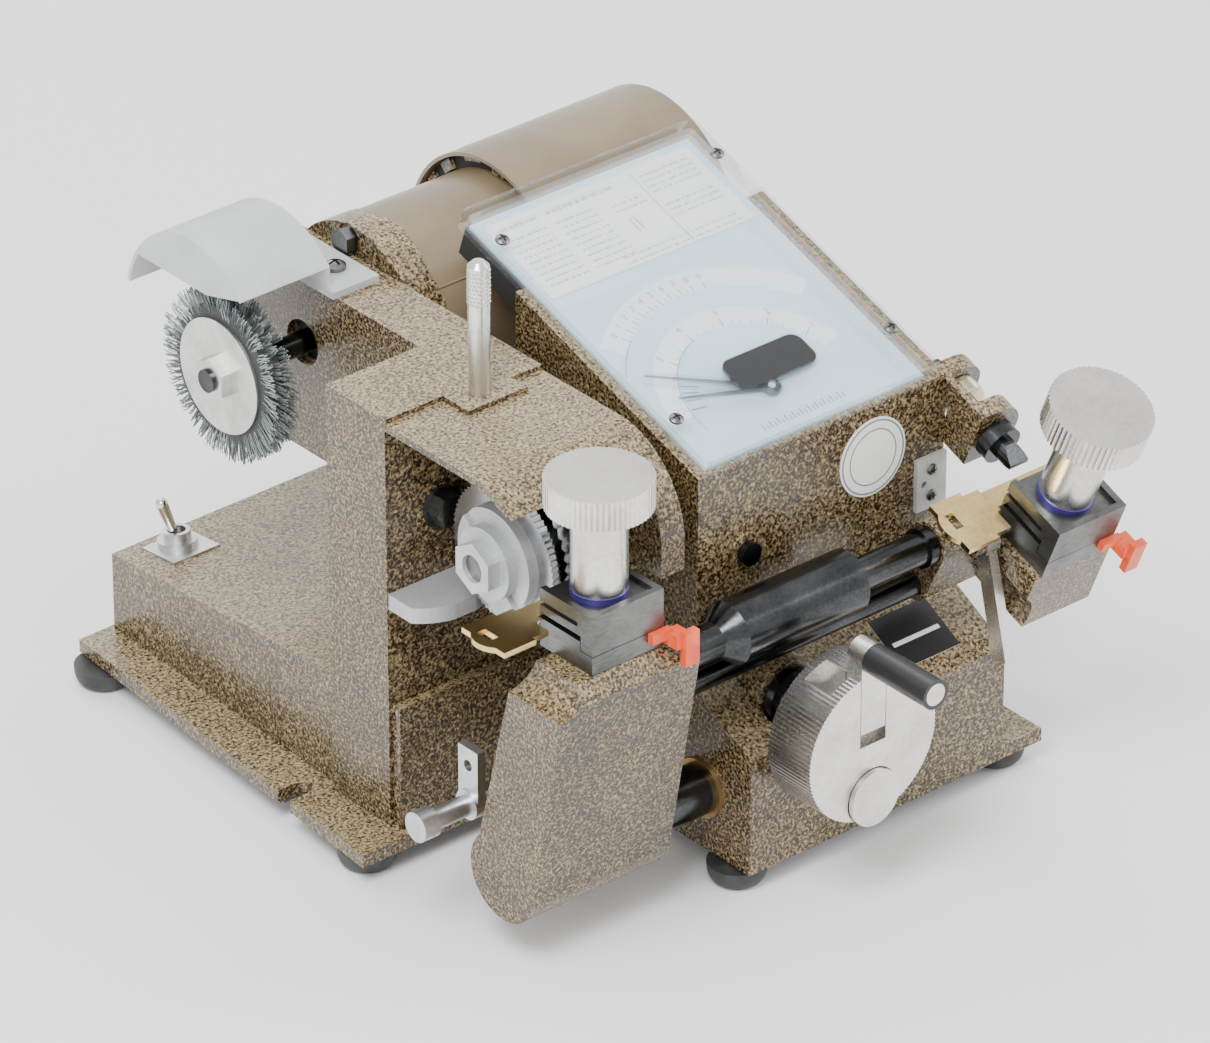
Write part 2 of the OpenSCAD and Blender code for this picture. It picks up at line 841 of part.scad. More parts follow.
module right_leaf() {
  color(hammertone) {
    right_vise_place() difference() {
      block([13, vise_front, 107], [54, vise_rear, vise_bottom]);
      rod_y(-130, -80, 30, 4, 114);
    }
    hull($fn = 32) {
      rod_x(rod_x1, 226, 20, upper_rod[0], upper_rod[1]);
      rod_x(rod_x1, 226, 15, lower_rod[0], lower_rod[1]);
      right_vise_place() block([24, vise_rear - 3, 110], [46, vise_rear - 1, 134]);
    }
    rod_x(gauge_x - 5, 224, 5.9, gauge_pivot[0], gauge_pivot[1]);
    rod_x(gauge_x - 5, gauge_x - 0.2, 9, gauge_pivot[0], gauge_pivot[1]);
  }
}

module tie_rods() {
  color(black_steel) {
    translate([0, upper_rod[0], upper_rod[1]]) rotate([0, 90, 0]) rotate_extrude() polygon([
      [0, rod_x0], [7.5, rod_x0], [7.5, 89], [13.5, 97], [13.5, 160], [7, 160],
      [7, 198], [8.5, 198], [8.5, rod_x1], [0, rod_x1]
    ]);
    rod_x(rod_x0, rod_x1, 10, lower_rod[0], lower_rod[1]);
  }
}

module lower_jaw() {
  color(dark_steel) difference() {
    union() {
      block([vise_x0, vise_front, vise_bottom], [vise_x1, vise_rear, skirt_z - 0.3]);
      block([vise_x0, vise_front + skirt_t + 0.3, vise_bottom], [vise_x1, vise_rear, key_plane]);
    }
    rod_z(139, 160, screw_d + 2 * slack, knob_x, knob_y);
  }
}

module upper_jaw() {
  lip = 3;
  color(dark_steel) difference() {
    union() {
      block([vise_x0, vise_front, key_plane + key_t], [vise_x1, vise_rear, vise_top]);
      block([vise_x0, vise_front, skirt_z], [vise_x1, vise_front + skirt_t, vise_top]);
      for (x = [vise_x0, vise_x1 - lip]) block([x, vise_front, vise_top - eps], [x + lip, vise_rear, vise_top + 2]);
      block([vise_x0, vise_front, vise_top - eps], [vise_x1, vise_front + lip, vise_top + 2]);
    }
    rod_z(150, 170, screw_d + 4 * slack, knob_x, knob_y);
    block([vise_x0 - 1, vise_front + 9, 156.5], [vise_x0 + 2, vise_rear + 1, 158.5]);
  }
}

module clamp_knob() {
  ribs = 60;
  color(nickel) {
    rod_z(141, vise_top + 1, screw_d, knob_x, knob_y);
    rod_z(vise_top, knob_z0 + 1, stem_d, knob_x, knob_y);
    translate([knob_x, knob_y, knob_z0]) linear_extrude(knob_z1 - knob_z0) difference() {
      circle(d = knob_d);
      for (i = [0:ribs - 1]) rotate(i * 360 / ribs) translate([knob_d / 2, 0]) rotate(45) square(0.9, center = true);
    }
  }
}

module key_blank() {
  blade = [-92, -83];
  bow = [-6, -92];
  color(brass) translate([0, 0, key_plane]) linear_extrude(key_t - 0.1) {
    translate([10, blade[0]]) square([36, blade[1] - blade[0]]);
    translate([46, blade[0] + 2]) square([5, 5]);
    translate([8, blade[0] - 2]) square([4, blade[1] - blade[0] + 2]);
    difference() {
      union() {
        translate(bow) circle(11);
        translate(bow + [-8, -13]) square([16, 26]);
        translate(bow + [0, -11]) square([16, 22]);
      }
      translate(bow + [-6, -2]) square([4, 8]);
    }
  }
}

module keys() {
  key_blank();
  right_vise_place() key_blank();
}

// Spring clip that marks where the key's tip goes.
module tip_stop() {
  color([0.9, 0.25, 0.12]) {
    block([45, vise_front - 3, 142], [55, vise_front, 146.4]);
    block([53, vise_front - 8, 139], [60, vise_front, 145]);
    block([clip_x1 - 7, vise_front - 10, 131], [clip_x1, vise_front - 6.5, 146]);
  }
}

module tip_stops() {
  tip_stop();
  right_vise_place() tip_stop();
}

module gauge_lever() {
  color(nickel) difference() {
    union() {
      rod_x(gauge_x, gauge_x + 7, 12, gauge_pivot[0], gauge_pivot[1]);
      translate([gauge_x, gauge_pivot[0], gauge_pivot[1]]) rotate([-14, 0, 0]) block([1.5, -4, -52], [6, 4, 0]);
    }
    rod_x(gauge_x - 5, gauge_x + 12, 6, gauge_pivot[0], gauge_pivot[1]);
  }
}

module handwheel() {
  ribs = 110;
  color(nickel) difference() {
    translate([wheel_x, wheel_y1, wheel_z]) rotate([90, 0, 0]) linear_extrude(wheel_y1 - wheel_y0) difference() {
      circle(d = wheel_d);
      for (i = [0:ribs - 1]) rotate((i + 0.5) * 360 / ribs) translate([wheel_d / 2, 0])
        rotate(45) square(0.7, center = true);
    }
    rod_y(wheel_y0 + 9.8, wheel_y1 + 1, 10, wheel_x, wheel_z);
    block([wheel_x - 6.8, wheel_y0 - 1, 76], [wheel_x + 6.8, wheel_y0 + 9.3, 120]);
    rod_y(wheel_y0 - 1, wheel_y0 + 6, 25.8, wheel_x, 51.5);
    block([wheel_x - 24, wheel_y0 + 5, 103], [wheel_x - 6.7, wheel_y1 - 4, 120]);
  }
}

module drive_pinion() {
  color(black_steel) {
    rod_y(wheel_y0 + 10, rack_y1, 10, wheel_x, wheel_z);
    rod_y(-109, -104.4, 27, wheel_x, wheel_z);
    rod_y(wheel_y1, -108, 22, wheel_x, wheel_z);
    rod_y(rack_y0, rack_y1, 2 * pinion_r - 5, wheel_x, wheel_z);
    translate([wheel_x, 0, wheel_z]) slab_y(rack_y0, rack_y1) for (i = [0:pinion_teeth - 1])
      rotate(-90 + i * 360 / pinion_teeth) polygon([
        [pinion_r - 3, -1.9], [pinion_r - 3, 1.9], [pinion_r + 1.7, 0.7], [pinion_r + 1.7, -0.7]
      ]);
  }
}

module finger_disc() {
  color(nickel) rod_y(wheel_y0 - 2.5, wheel_y0 + 6, 25, wheel_x, 51.5);
}

module crank_arm() {
  arm_w = 13;
  color(nickel) {
    slab_y(wheel_y0, wheel_y0 + 9) {
      translate([wheel_x - arm_w / 2, 82]) square([arm_w, crank_z - 82]);
      translate([wheel_x, crank_z]) circle(d = arm_w);
    }
    rod_y(wheel_y0 - 34, wheel_y0 + 1, 5, wheel_x, crank_z);
    rod_y(wheel_y0 - handle_l, wheel_y0 - 34 + eps, 9.6, wheel_x, crank_z);
  }
}

module crank_handle() {
  color(black_steel) difference() {
    rod_y(wheel_y0 - handle_l, wheel_y0 - 0.3, 13, wheel_x, crank_z);
    rod_y(wheel_y0 - 40, wheel_y0 + 1, 5 + 2 * slack, wheel_x, crank_z);
    rod_y(wheel_y0 - 40, wheel_y0 - 33.9, 9.8, wheel_x, crank_z);
  }
}

module latch_rod() {
  color(light_metal) {
    rod_x(-15, 112, 9, latch_y, latch_z);
    rod_x(latch_x0, -15 + eps, 13, latch_y, latch_z);
  }
  color([0.55, 0.55, 0.55]) difference() {
    union() {
      rod_x(3, 9, 13, latch_y, latch_z);
      block([4, latch_y - 6, latch_z], [8, latch_y + 6, latch_z + 26]);
    }
    rod_x(-1, 12, 9, latch_y, latch_z);
    rod_x(-1, 12, 5, latch_y, latch_z + 18);
  }
}

place() base_casting();
place() base_plate();
place() rubber_feet();
place() dial_housing();
place() belt_arm();
place() spindle_hood();
place() chip_deflector();
place() hex_bolts();
place() pan_screws();
place() switch_body();
place() switch_nut();
place() switch_lever();
place() motor_end_bell();
place() motor_can();
place() motor_cover();
place() motor_shaft();
place() motor_pulley();
place() drive_belt();
place() brush_bristles();
place() brush_hub();
place() brush_guard();
place() spindle_bearings();
place() spindle_shaft();
place() spindle_pulley();
place() cutter_wheels();
place() cutter_nut();
place() lock_pin();
place() lock_spring();
place() dial_cover();
place() dial_face();
place() panel_back();
place() labels();
place() depth_pointer();
place() space_pointer();
place() tracer_holder();
place() holder_plate();
place() tracer_pin();
place() micrometer_ring();
place() shaft_bushes();
place() stop_pin();
place() carriage_shaft();
place() carriage_rack();
place() left_leaf();
place() right_leaf();
place() tie_rods();
place() lower_jaw();  // left_lower_jaw
place() upper_jaw();  // left_upper_jaw
place() clamp_knob();  // left_knob
place() right_vise_place() lower_jaw();  // right_lower_jaw
place() right_vise_place() upper_jaw();  // right_upper_jaw
place() right_vise_place() clamp_knob();  // right_knob
place() keys();
place() tip_stops();
place() gauge_lever();
place() handwheel();
place() drive_pinion();
place() finger_disc();
place() crank_arm();
place() crank_handle();
place() latch_rod();
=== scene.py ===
import math
import random

import bmesh
import bpy
from mathutils import Matrix, Vector


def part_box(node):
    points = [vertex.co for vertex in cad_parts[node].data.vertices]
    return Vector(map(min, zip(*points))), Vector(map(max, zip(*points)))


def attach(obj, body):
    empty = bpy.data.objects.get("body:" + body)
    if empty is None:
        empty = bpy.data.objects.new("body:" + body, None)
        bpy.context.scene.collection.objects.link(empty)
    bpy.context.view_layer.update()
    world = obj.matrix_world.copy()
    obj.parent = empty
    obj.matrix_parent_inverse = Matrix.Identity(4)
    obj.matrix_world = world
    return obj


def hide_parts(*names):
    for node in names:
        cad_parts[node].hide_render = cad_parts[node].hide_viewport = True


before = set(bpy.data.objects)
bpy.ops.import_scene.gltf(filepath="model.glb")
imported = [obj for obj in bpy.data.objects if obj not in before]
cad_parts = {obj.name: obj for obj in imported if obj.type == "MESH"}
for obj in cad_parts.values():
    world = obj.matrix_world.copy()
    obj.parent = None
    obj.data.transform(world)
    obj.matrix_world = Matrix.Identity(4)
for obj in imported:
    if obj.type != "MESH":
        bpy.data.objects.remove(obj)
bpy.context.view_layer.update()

# Studio: a pale floor that runs off in every direction, a white surround, and three soft lights.
# The machine is seen from its front left corner, a little from above, through a long lens.
MM = 0.001
LOOK_AT = Vector((-5.8, -11.4, 119.9)) * MM
VIEW_TURN = math.radians(40.36)
VIEW_RISE = math.radians(30.45)
LENS_MM = 252.9
VIEW_DISTANCE = 3.437

camera_data = bpy.data.cameras.new("camera")
camera_data.lens = LENS_MM
camera_data.sensor_width = 36
camera_data.clip_end = 50
camera = bpy.data.objects.new("camera", camera_data)
bpy.context.scene.collection.objects.link(camera)
toward_camera = Vector((
    -math.sin(VIEW_TURN) * math.cos(VIEW_RISE),
    -math.cos(VIEW_TURN) * math.cos(VIEW_RISE),
    math.sin(VIEW_RISE),
))
camera.location = LOOK_AT + toward_camera * VIEW_DISTANCE
camera.rotation_euler = toward_camera.to_track_quat("Z", "Y").to_euler()
bpy.context.scene.camera = camera


def soft_light(name, place, size, watts):
    data = bpy.data.lights.new(name, "AREA")
    data.shape = "RECTANGLE"
    data.size = size
    data.size_y = size
    data.energy = watts
    light = bpy.data.objects.new(name, data)
    bpy.context.scene.collection.objects.link(light)
    light.location = place
    light.rotation_euler = (Vector(place) - LOOK_AT).to_track_quat("Z", "Y").to_euler()


soft_light("key_light", (-0.9, -0.5, 1.5), 0.7, 30)
soft_light("right_light", (1.5, -0.9, 0.9), 0.9, 12)
soft_light("back_light", (0.3, 1.4, 1.3), 1.0, 12)

world = bpy.data.worlds.new("surround")
bpy.context.scene.world = world
world.use_nodes = True
world.node_tree.nodes["Background"].inputs["Color"].default_value = (1, 1, 1, 1)
world.node_tree.nodes["Background"].inputs["Strength"].default_value = 1.35


def shade(name, **sockets):
    """A new material and its shader, with the shader's sockets set by name."""
    material = bpy.data.materials.new(name)
    material.use_nodes = True
    shader = material.node_tree.nodes["Principled BSDF"]
    for key, value in sockets.items():
        shader.inputs[key.replace("_", " ")].default_value = value
    return material, shader


def add(tree, kind, settings=None, **inputs):
    """A node whose sockets take either a number or another node's output."""
    made = tree.nodes.new(kind)
    for key, value in (settings or {}).items():
        setattr(made, key, value)
    for key, value in inputs.items():
        socket = made.inputs[key.replace("_", " ")]
        if isinstance(value, bpy.types.NodeSocket):
            tree.links.new(value, socket)
        else:
            socket.default_value = value
    return made


floor_mesh = bpy.data.meshes.new("floor")
floor_mesh.from_pydata([(-30, -30, 0), (30, -30, 0), (30, 30, 0), (-30, 30, 0)], [], [(0, 1, 2, 3)])
floor = bpy.data.objects.new("floor", floor_mesh)
bpy.context.scene.collection.objects.link(floor)
floor_paper, paper_shader = shade("floor_paper", Roughness=0.9)
paper_shader.inputs["Base Color"].default_value = (0.93, 0.93, 0.93, 1)
floor_mesh.materials.append(floor_paper)

# Base: one iron casting with a sloping switch deck, a bolting flange and a hollow column, sprayed
# with a hammered two-tone lacquer whose beige skin breaks open over dark brown. A thin steel plate
# closes it underneath, and five moulded rubber feet screw into the plate.


def ramp(tree, value, stops, smooth=False):
    """A colour ramp over value, with stops as (place, colour)."""
    made = add(tree, "ShaderNodeValToRGB", Fac=value)
    made.color_ramp.interpolation = "EASE" if smooth else "LINEAR"
    marks = made.color_ramp.elements
    while len(marks) < len(stops):
        marks.new(0.5)
    for mark, (place, colour) in zip(marks, stops):
        mark.position = place
        mark.color = (*colour, 1)
    return made.outputs["Color"]


def hammered(name, tones, speck=760, painted_top_light=0.07, relief=0.5):
    """Hammered lacquer: tones run from the dark ground to the pale skin, specks are about 1.3 mm. Faces
    turned up get painted light, a lighter tone, and faces turned down get painted shade, a darker one.
    """
    material, shader = shade(name, Roughness=0.36, Coat_Weight=0.35, Coat_Roughness=0.22)
    tree = material.node_tree
    place = add(tree, "ShaderNodeTexCoord")
    specks = add(tree, "ShaderNodeTexNoise", Vector=place.outputs["Object"], Scale=speck, Detail=2.0,
                 Roughness=0.62, Distortion=0.5)
    drift = add(tree, "ShaderNodeTexNoise", Vector=place.outputs["Object"], Scale=28, Detail=1.0)
    # Painted light: the tone is raised on faces turned up and lowered on faces turned down, as light from
    # above would do.
    facing = add(tree, "ShaderNodeSeparateXYZ", Vector=place.outputs["Normal"])
    painted_top_lift = add(tree, "ShaderNodeMapRange", Value=facing.outputs["Z"], From_Min=-0.2, From_Max=1.0,
               To_Min=-0.03, To_Max=painted_top_light)
    sway = add(tree, "ShaderNodeMapRange", Value=drift.outputs["Fac"], To_Min=-0.04, To_Max=0.04)
    first = add(tree, "ShaderNodeMath", Value=specks.outputs["Fac"])
    tree.links.new(painted_top_lift.outputs["Result"], first.inputs[1])
    second = add(tree, "ShaderNodeMath")
    tree.links.new(first.outputs["Value"], second.inputs[0])
    tree.links.new(sway.outputs["Result"], second.inputs[1])
    tone = ramp(tree, second.outputs["Value"], list(zip((0.40, 0.465, 0.53, 0.60, 0.72), tones)))
    tree.links.new(tone, shader.inputs["Base Color"])
    rough = add(tree, "ShaderNodeMapRange", Value=second.outputs["Value"], From_Min=0.4, From_Max=0.65,
                To_Min=0.24, To_Max=0.46)
    tree.links.new(rough.outputs["Result"], shader.inputs["Roughness"])
    bump = add(tree, "ShaderNodeBump", Strength=relief, Distance=0.0003, Height=specks.outputs["Fac"])
    tree.links.new(bump.outputs["Normal"], shader.inputs["Normal"])
    return material


def finish_in(material, *names):
    """Gives CAD nodes a material."""
    for name in names:
        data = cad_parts[name].data
        if not data.materials:
            data.materials.append(material)
        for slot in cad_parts[name].material_slots:
            slot.material = material


def soften(width_mm, *names, segments=2, angle=34):
    """Breaks the sharp edges of CAD nodes as casting, deburring or moulding does."""
    for name in names:
        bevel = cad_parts[name].modifiers.new("edge_break", "BEVEL")
        bevel.width = width_mm * MM
        bevel.segments = segments
        bevel.limit_method = "ANGLE"
        bevel.angle_limit = math.radians(angle)
        bevel.harden_normals = True


LACQUER_TONES = (
    (0.014, 0.008, 0.003),
    (0.060, 0.036, 0.013),
    (0.150, 0.100, 0.042),
    (0.26, 0.20, 0.105),
    (0.41, 0.345, 0.22),
)
# This finish paints light on faces turned up and shade on faces turned down.
hammertone = hammered("hammertone", LACQUER_TONES)


def rubbery(name, colour, roughness):
    material, shader = shade(name, Roughness=roughness)
    tree = material.node_tree
    place = add(tree, "ShaderNodeTexCoord")
    dust = add(tree, "ShaderNodeTexNoise", Vector=place.outputs["Object"], Scale=90, Detail=5.0)
    lighter = tuple(min(1, c * 1.9 + 0.015) for c in colour)
    tone = ramp(tree, dust.outputs["Fac"], [(0.4, colour), (0.75, lighter)])
    tree.links.new(tone, shader.inputs["Base Color"])
    pores = add(tree, "ShaderNodeTexNoise", Vector=place.outputs["Object"], Scale=1800, Detail=2.0)
    bump = add(tree, "ShaderNodeBump", Strength=0.15, Distance=0.0001, Height=pores.outputs["Fac"])
    tree.links.new(bump.outputs["Normal"], shader.inputs["Normal"])
    return material


foot_rubber = rubbery("foot_rubber", (0.022, 0.024, 0.023), 0.55)


def metal(name, pale, dark, roughness, stretch=(1, 1, 1), grain=300, relief=0.12, metallic=1.0, **sockets):
    """Metal with a grain: stretch lengthens the grain along an axis, as turning or brushing leaves it."""
    material, shader = shade(name, Metallic=metallic, **sockets)
    tree = material.node_tree
    place = add(tree, "ShaderNodeTexCoord")
    along = add(tree, "ShaderNodeMapping", Vector=place.outputs["Object"], Scale=stretch)
    grains = add(tree, "ShaderNodeTexNoise", Vector=along.outputs["Vector"], Scale=grain, Detail=4.0,
                 Roughness=0.6)
    cloud = add(tree, "ShaderNodeTexNoise", Vector=place.outputs["Object"], Scale=45, Detail=3.0)
    blend = add(tree, "ShaderNodeMath", {"operation": "MULTIPLY_ADD"}, Value=cloud.outputs["Fac"])
    blend.inputs[1].default_value = 0.6
    halved = add(tree, "ShaderNodeMath", {"operation": "MULTIPLY"}, Value=grains.outputs["Fac"])
    halved.inputs[1].default_value = 0.4
    tree.links.new(halved.outputs["Value"], blend.inputs[2])
    tone = ramp(tree, blend.outputs["Value"], [(0.35, dark), (0.62, pale)])
    tree.links.new(tone, shader.inputs["Base Color"])
    rough = add(tree, "ShaderNodeMapRange", Value=blend.outputs["Value"], From_Min=0.3, From_Max=0.7,
                To_Min=roughness * 1.25, To_Max=roughness * 0.8)
    tree.links.new(rough.outputs["Result"], shader.inputs["Roughness"])
    bump = add(tree, "ShaderNodeBump", Strength=relief, Distance=0.0001, Height=grains.outputs["Fac"])
    tree.links.new(bump.outputs["Normal"], shader.inputs["Normal"])
    return material


plate_steel = metal("plate_steel", (0.30, 0.30, 0.30), (0.12, 0.12, 0.12), 0.5)
finish_in(hammertone, "base_casting")
finish_in(plate_steel, "base_plate")
finish_in(foot_rubber, "rubber_feet")
soften(1.6, "base_casting", segments=3)

# Toggle switch: a bright chromed bat lever in a threaded bushing, held by a round nut over a thin
# square tab plate on the deck.
bright_nickel = metal("bright_nickel", (0.86, 0.84, 0.80), (0.62, 0.60, 0.56), 0.16)
zinc = metal("zinc", (0.74, 0.75, 0.75), (0.50, 0.51, 0.52), 0.34, grain=500, relief=0.2)
finish_in(bright_nickel, "switch_lever")
finish_in(zinc, "switch_body", "switch_nut")
soften(0.3, "switch_body", "switch_nut")

# Belt arm: a hollow casting bolted to the column, which carries the motor behind and the spindle in
# front; a bent and painted hood covers the cutters. Hex bolts and screws are dark steel.
dark_steel = metal("dark_steel", (0.23, 0.235, 0.23), (0.09, 0.092, 0.09), 0.34, grain=700, relief=0.2)
cast_gray = metal("cast_gray", (0.62, 0.63, 0.64), (0.45, 0.46, 0.47), 0.5, grain=900, relief=0.35,
                  metallic=0.55)
finish_in(hammertone, "belt_arm", "spindle_hood")
finish_in(dark_steel, "hex_bolts", "pan_screws")
finish_in(cast_gray, "chip_deflector")
soften(1.2, "belt_arm", segments=3)
soften(0.7, "spindle_hood")
soften(0.4, "hex_bolts", "chip_deflector")
soften(0.15, "pan_screws")

# Motor: a steel can in satin tan lacquer with a rolled seam, a hammered end bell, and a round
# cover over its rear half. Between can and cover sits a black ring with cast vent blocks.


def lacquer(name, pale, dark, roughness):
    """Smooth sprayed lacquer with a faint orange peel."""
    material, shader = shade(name, Roughness=roughness, Coat_Weight=0.3, Coat_Roughness=0.25)
    tree = material.node_tree
    place = add(tree, "ShaderNodeTexCoord")
    cloud = add(tree, "ShaderNodeTexNoise", Vector=place.outputs["Object"], Scale=22, Detail=3.0)
    tone = ramp(tree, cloud.outputs["Fac"], [(0.3, dark), (0.7, pale)], smooth=True)
    tree.links.new(tone, shader.inputs["Base Color"])
    peel = add(tree, "ShaderNodeTexNoise", Vector=place.outputs["Object"], Scale=650, Detail=1.0)
    bump = add(tree, "ShaderNodeBump", Strength=0.12, Distance=0.0001, Height=peel.outputs["Fac"])
    tree.links.new(bump.outputs["Normal"], shader.inputs["Normal"])
    return material


motor_tan = lacquer("motor_tan", (0.245, 0.19, 0.118), (0.185, 0.14, 0.083), 0.34)
black_steel = metal("black_steel", (0.085, 0.088, 0.092), (0.03, 0.032, 0.034), 0.2, grain=900, relief=0.08)
finish_in(motor_tan, "motor_can", "motor_cover")
finish_in(hammertone, "motor_end_bell")
finish_in(black_steel, "motor_shaft")
finish_in(cast_gray, "motor_pulley")
finish_in(rubbery("belt_rubber", (0.012, 0.012, 0.012), 0.5), "drive_belt")
soften(1.2, "motor_end_bell", segments=3)
soften(0.6, "motor_can", "motor_cover")


def piece(name, bm, material, body, smooth=True):
    """Turns a bmesh, drawn in the frame's metres, into a piece that rides on a body."""
    bmesh.ops.recalc_face_normals(bm, faces=bm.faces)
    data = bpy.data.meshes.new(name)
    bm.to_mesh(data)
    bm.free()
    made = bpy.data.objects.new(name, data)
    bpy.context.scene.collection.objects.link(made)
    data.materials.append(material)
    if smooth:
        data.shade_smooth()
        data.set_sharp_from_angle(angle=math.radians(35))
    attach(made, body)
    return made


def axes_at(origin, along, side=(0, 0, 1)):
    """A matrix whose Z runs along a direction and whose Y leans towards side."""
    z = Vector(along).normalized()
    x = Vector(side).cross(z).normalized()
    y = z.cross(x)
    turn = Matrix((x, y, z)).transposed().to_4x4()
    return Matrix.Translation(Vector(origin)) @ turn


def lathe(bm, profile, matrix, turns=96):
    """Turns a closed outline of (radius, height) points, in millimetres, about the matrix's Z."""
    rings = []
    for step in range(turns):
        a = 2 * math.pi * step / turns
        rings.append([
            bm.verts.new(matrix @ Vector((r * math.cos(a), r * math.sin(a), h))) for r, h in
            [(p[0] * MM, p[1] * MM) for p in profile]
        ])
    count = len(profile)
    for step in range(turns):
        here, there = rings[step], rings[(step + 1) % turns]
        for k in range(count):
            bm.faces.new((here[k], there[k], there[(k + 1) % count], here[(k + 1) % count]))


def prism(bm, outline, low, high, matrix):
    """Extrudes an outline of (x, y) points, in millimetres, from low to high along the matrix's Z."""
    bottom = [bm.verts.new(matrix @ Vector((x * MM, y * MM, low * MM))) for x, y in outline]
    top = [bm.verts.new(matrix @ Vector((x * MM, y * MM, high * MM))) for x, y in outline]
    bm.faces.new(bottom)
    bm.faces.new(top)
    for k in range(len(outline)):
        n = (k + 1) % len(outline)
        bm.faces.new((bottom[k], bottom[n], top[n], top[k]))


def round_points(radius, start, end, count, centre=(0, 0)):
    """Points along an arc, in degrees."""
    return [
        (centre[0] + radius * math.cos(math.radians(start + (end - start) * k / count)),
         centre[1] + radius * math.sin(math.radians(start + (end - start) * k / count)))
        for k in range(count + 1)
    ]


can_low, can_high = (Vector(v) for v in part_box("motor_can"))
cover_low, cover_high = (Vector(v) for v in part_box("motor_cover"))
motor_axis = (can_low + can_high) / 2
CAN_R = (can_high.z - can_low.z) / 2 / MM
COVER_R = (cover_high.z - cover_low.z) / 2 / MM
VENT_BLOCKS = 16
at_cover = axes_at((cover_low.x + 3 * MM, motor_axis.y, motor_axis.z), (1, 0, 0))
vents = bmesh.new()
lathe(vents, [(CAN_R + 0.1, 2.2), (COVER_R - 1.8, 2.2), (COVER_R - 1.8, 4.2), (CAN_R + 0.1, 4.2)], at_cover)
piece("vent_ring", vents, shade("vent_black", Roughness=0.7, Base_Color=(0.012, 0.011, 0.01, 1))[0], "root",
      smooth=False)
blocks = bmesh.new()
for k in range(VENT_BLOCKS):
    a0 = 360 * k / VENT_BLOCKS
    wide = 13 if k % 2 else 9
    edge = (CAN_R + 3.2 if k % 2 else CAN_R + 1.0, COVER_R - 2.2)
    outline = round_points(edge[1], a0, a0 + wide, 4) + round_points(edge[0], a0 + wide, a0, 4)
    prism(blocks, outline, 0.4, 2.3, at_cover)
piece("vent_blocks", blocks, hammertone, "root")
seam = bmesh.new()
for height in (-13, 24):
    reach = math.sqrt(CAN_R ** 2 - height ** 2) * MM
    here = Vector((can_low.x, motor_axis.y - reach, motor_axis.z + height * MM))
    run = (cover_low.x + 8 * MM - can_low.x) / MM
    prism(seam, [(-0.5, -0.35), (0.5, -0.35), (0.5, 0.35), (-0.5, 0.35)], 0.5, run, axes_at(here, (1, 0, 0)))
piece("can_seam", seam, motor_tan, "root")
rib = bmesh.new()
lathe(rib, [(COVER_R - 1.0, 0), (COVER_R + 0.0, 0.3), (COVER_R + 0.0, 1.6), (COVER_R - 1.0, 2.0)],
      axes_at((cover_low.x, motor_axis.y, motor_axis.z), (1, 0, 0)))
piece("cover_rim", rib, motor_tan, "root")
torn = bmesh.new()
EDGE_STEPS = 150
random.seed(4)
bell_edge = []
for k in range(EDGE_STEPS):
    width = 2.6 + 1.4 * (random.random() > 0.45) * random.random() + 0.8 * math.sin(k * 0.31)
    bell_edge.append(width)
at_bell = axes_at((can_low.x, motor_axis.y, motor_axis.z), (1, 0, 0))
for k in range(EDGE_STEPS):
    a0 = 360 * k / EDGE_STEPS
    a1 = 360 * (k + 1) / EDGE_STEPS
    outline = round_points(CAN_R + 0.9, a0, a1, 1) + round_points(CAN_R - 0.2, a1, a0, 1)
    prism(torn, outline, -0.5, bell_edge[k], at_bell)
piece("bell_edge", torn, hammertone, "root")

# Deburring brush: tufts of wavy gray wire packed round a steel hub between two pressed plates, held
# by a zinc nut on the motor's shaft. A frosted plastic guard arches over it from the belt arm.
brush_low, brush_high = (Vector(v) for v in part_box("brush_bristles"))
brush_axis = (brush_low + brush_high) / 2
BRUSH_R = (brush_high.z - brush_low.z) / 2 / MM
BRUSH_W = (brush_high.x - brush_low.x) / MM
TUFTS = 74
WIRES = 6
wire_gray = metal("wire_gray", (0.40, 0.44, 0.43), (0.17, 0.20, 0.20), 0.42, metallic=0.75)
bristles = bmesh.new()
random.seed(11)
at_brush = axes_at(brush_axis, (1, 0, 0))


def wire(bm, points, radius):
    """A three-sided wire through points."""
    rings = []
    for k, point in enumerate(points):
        ahead = points[min(k + 1, len(points) - 1)] - points[max(k - 1, 0)]
        turn = ahead.to_track_quat("Z", "Y")
        rings.append([
            bm.verts.new(point + turn @ Vector((math.cos(a), math.sin(a), 0)) * radius)
            for a in (0, 2 * math.pi / 3, 4 * math.pi / 3)
        ])
    for here, there in zip(rings, rings[1:]):
        for s in range(3):
            bm.faces.new((here[s], here[(s + 1) % 3], there[(s + 1) % 3], there[s]))
    bm.faces.new(rings[0])
    bm.faces.new(rings[-1])


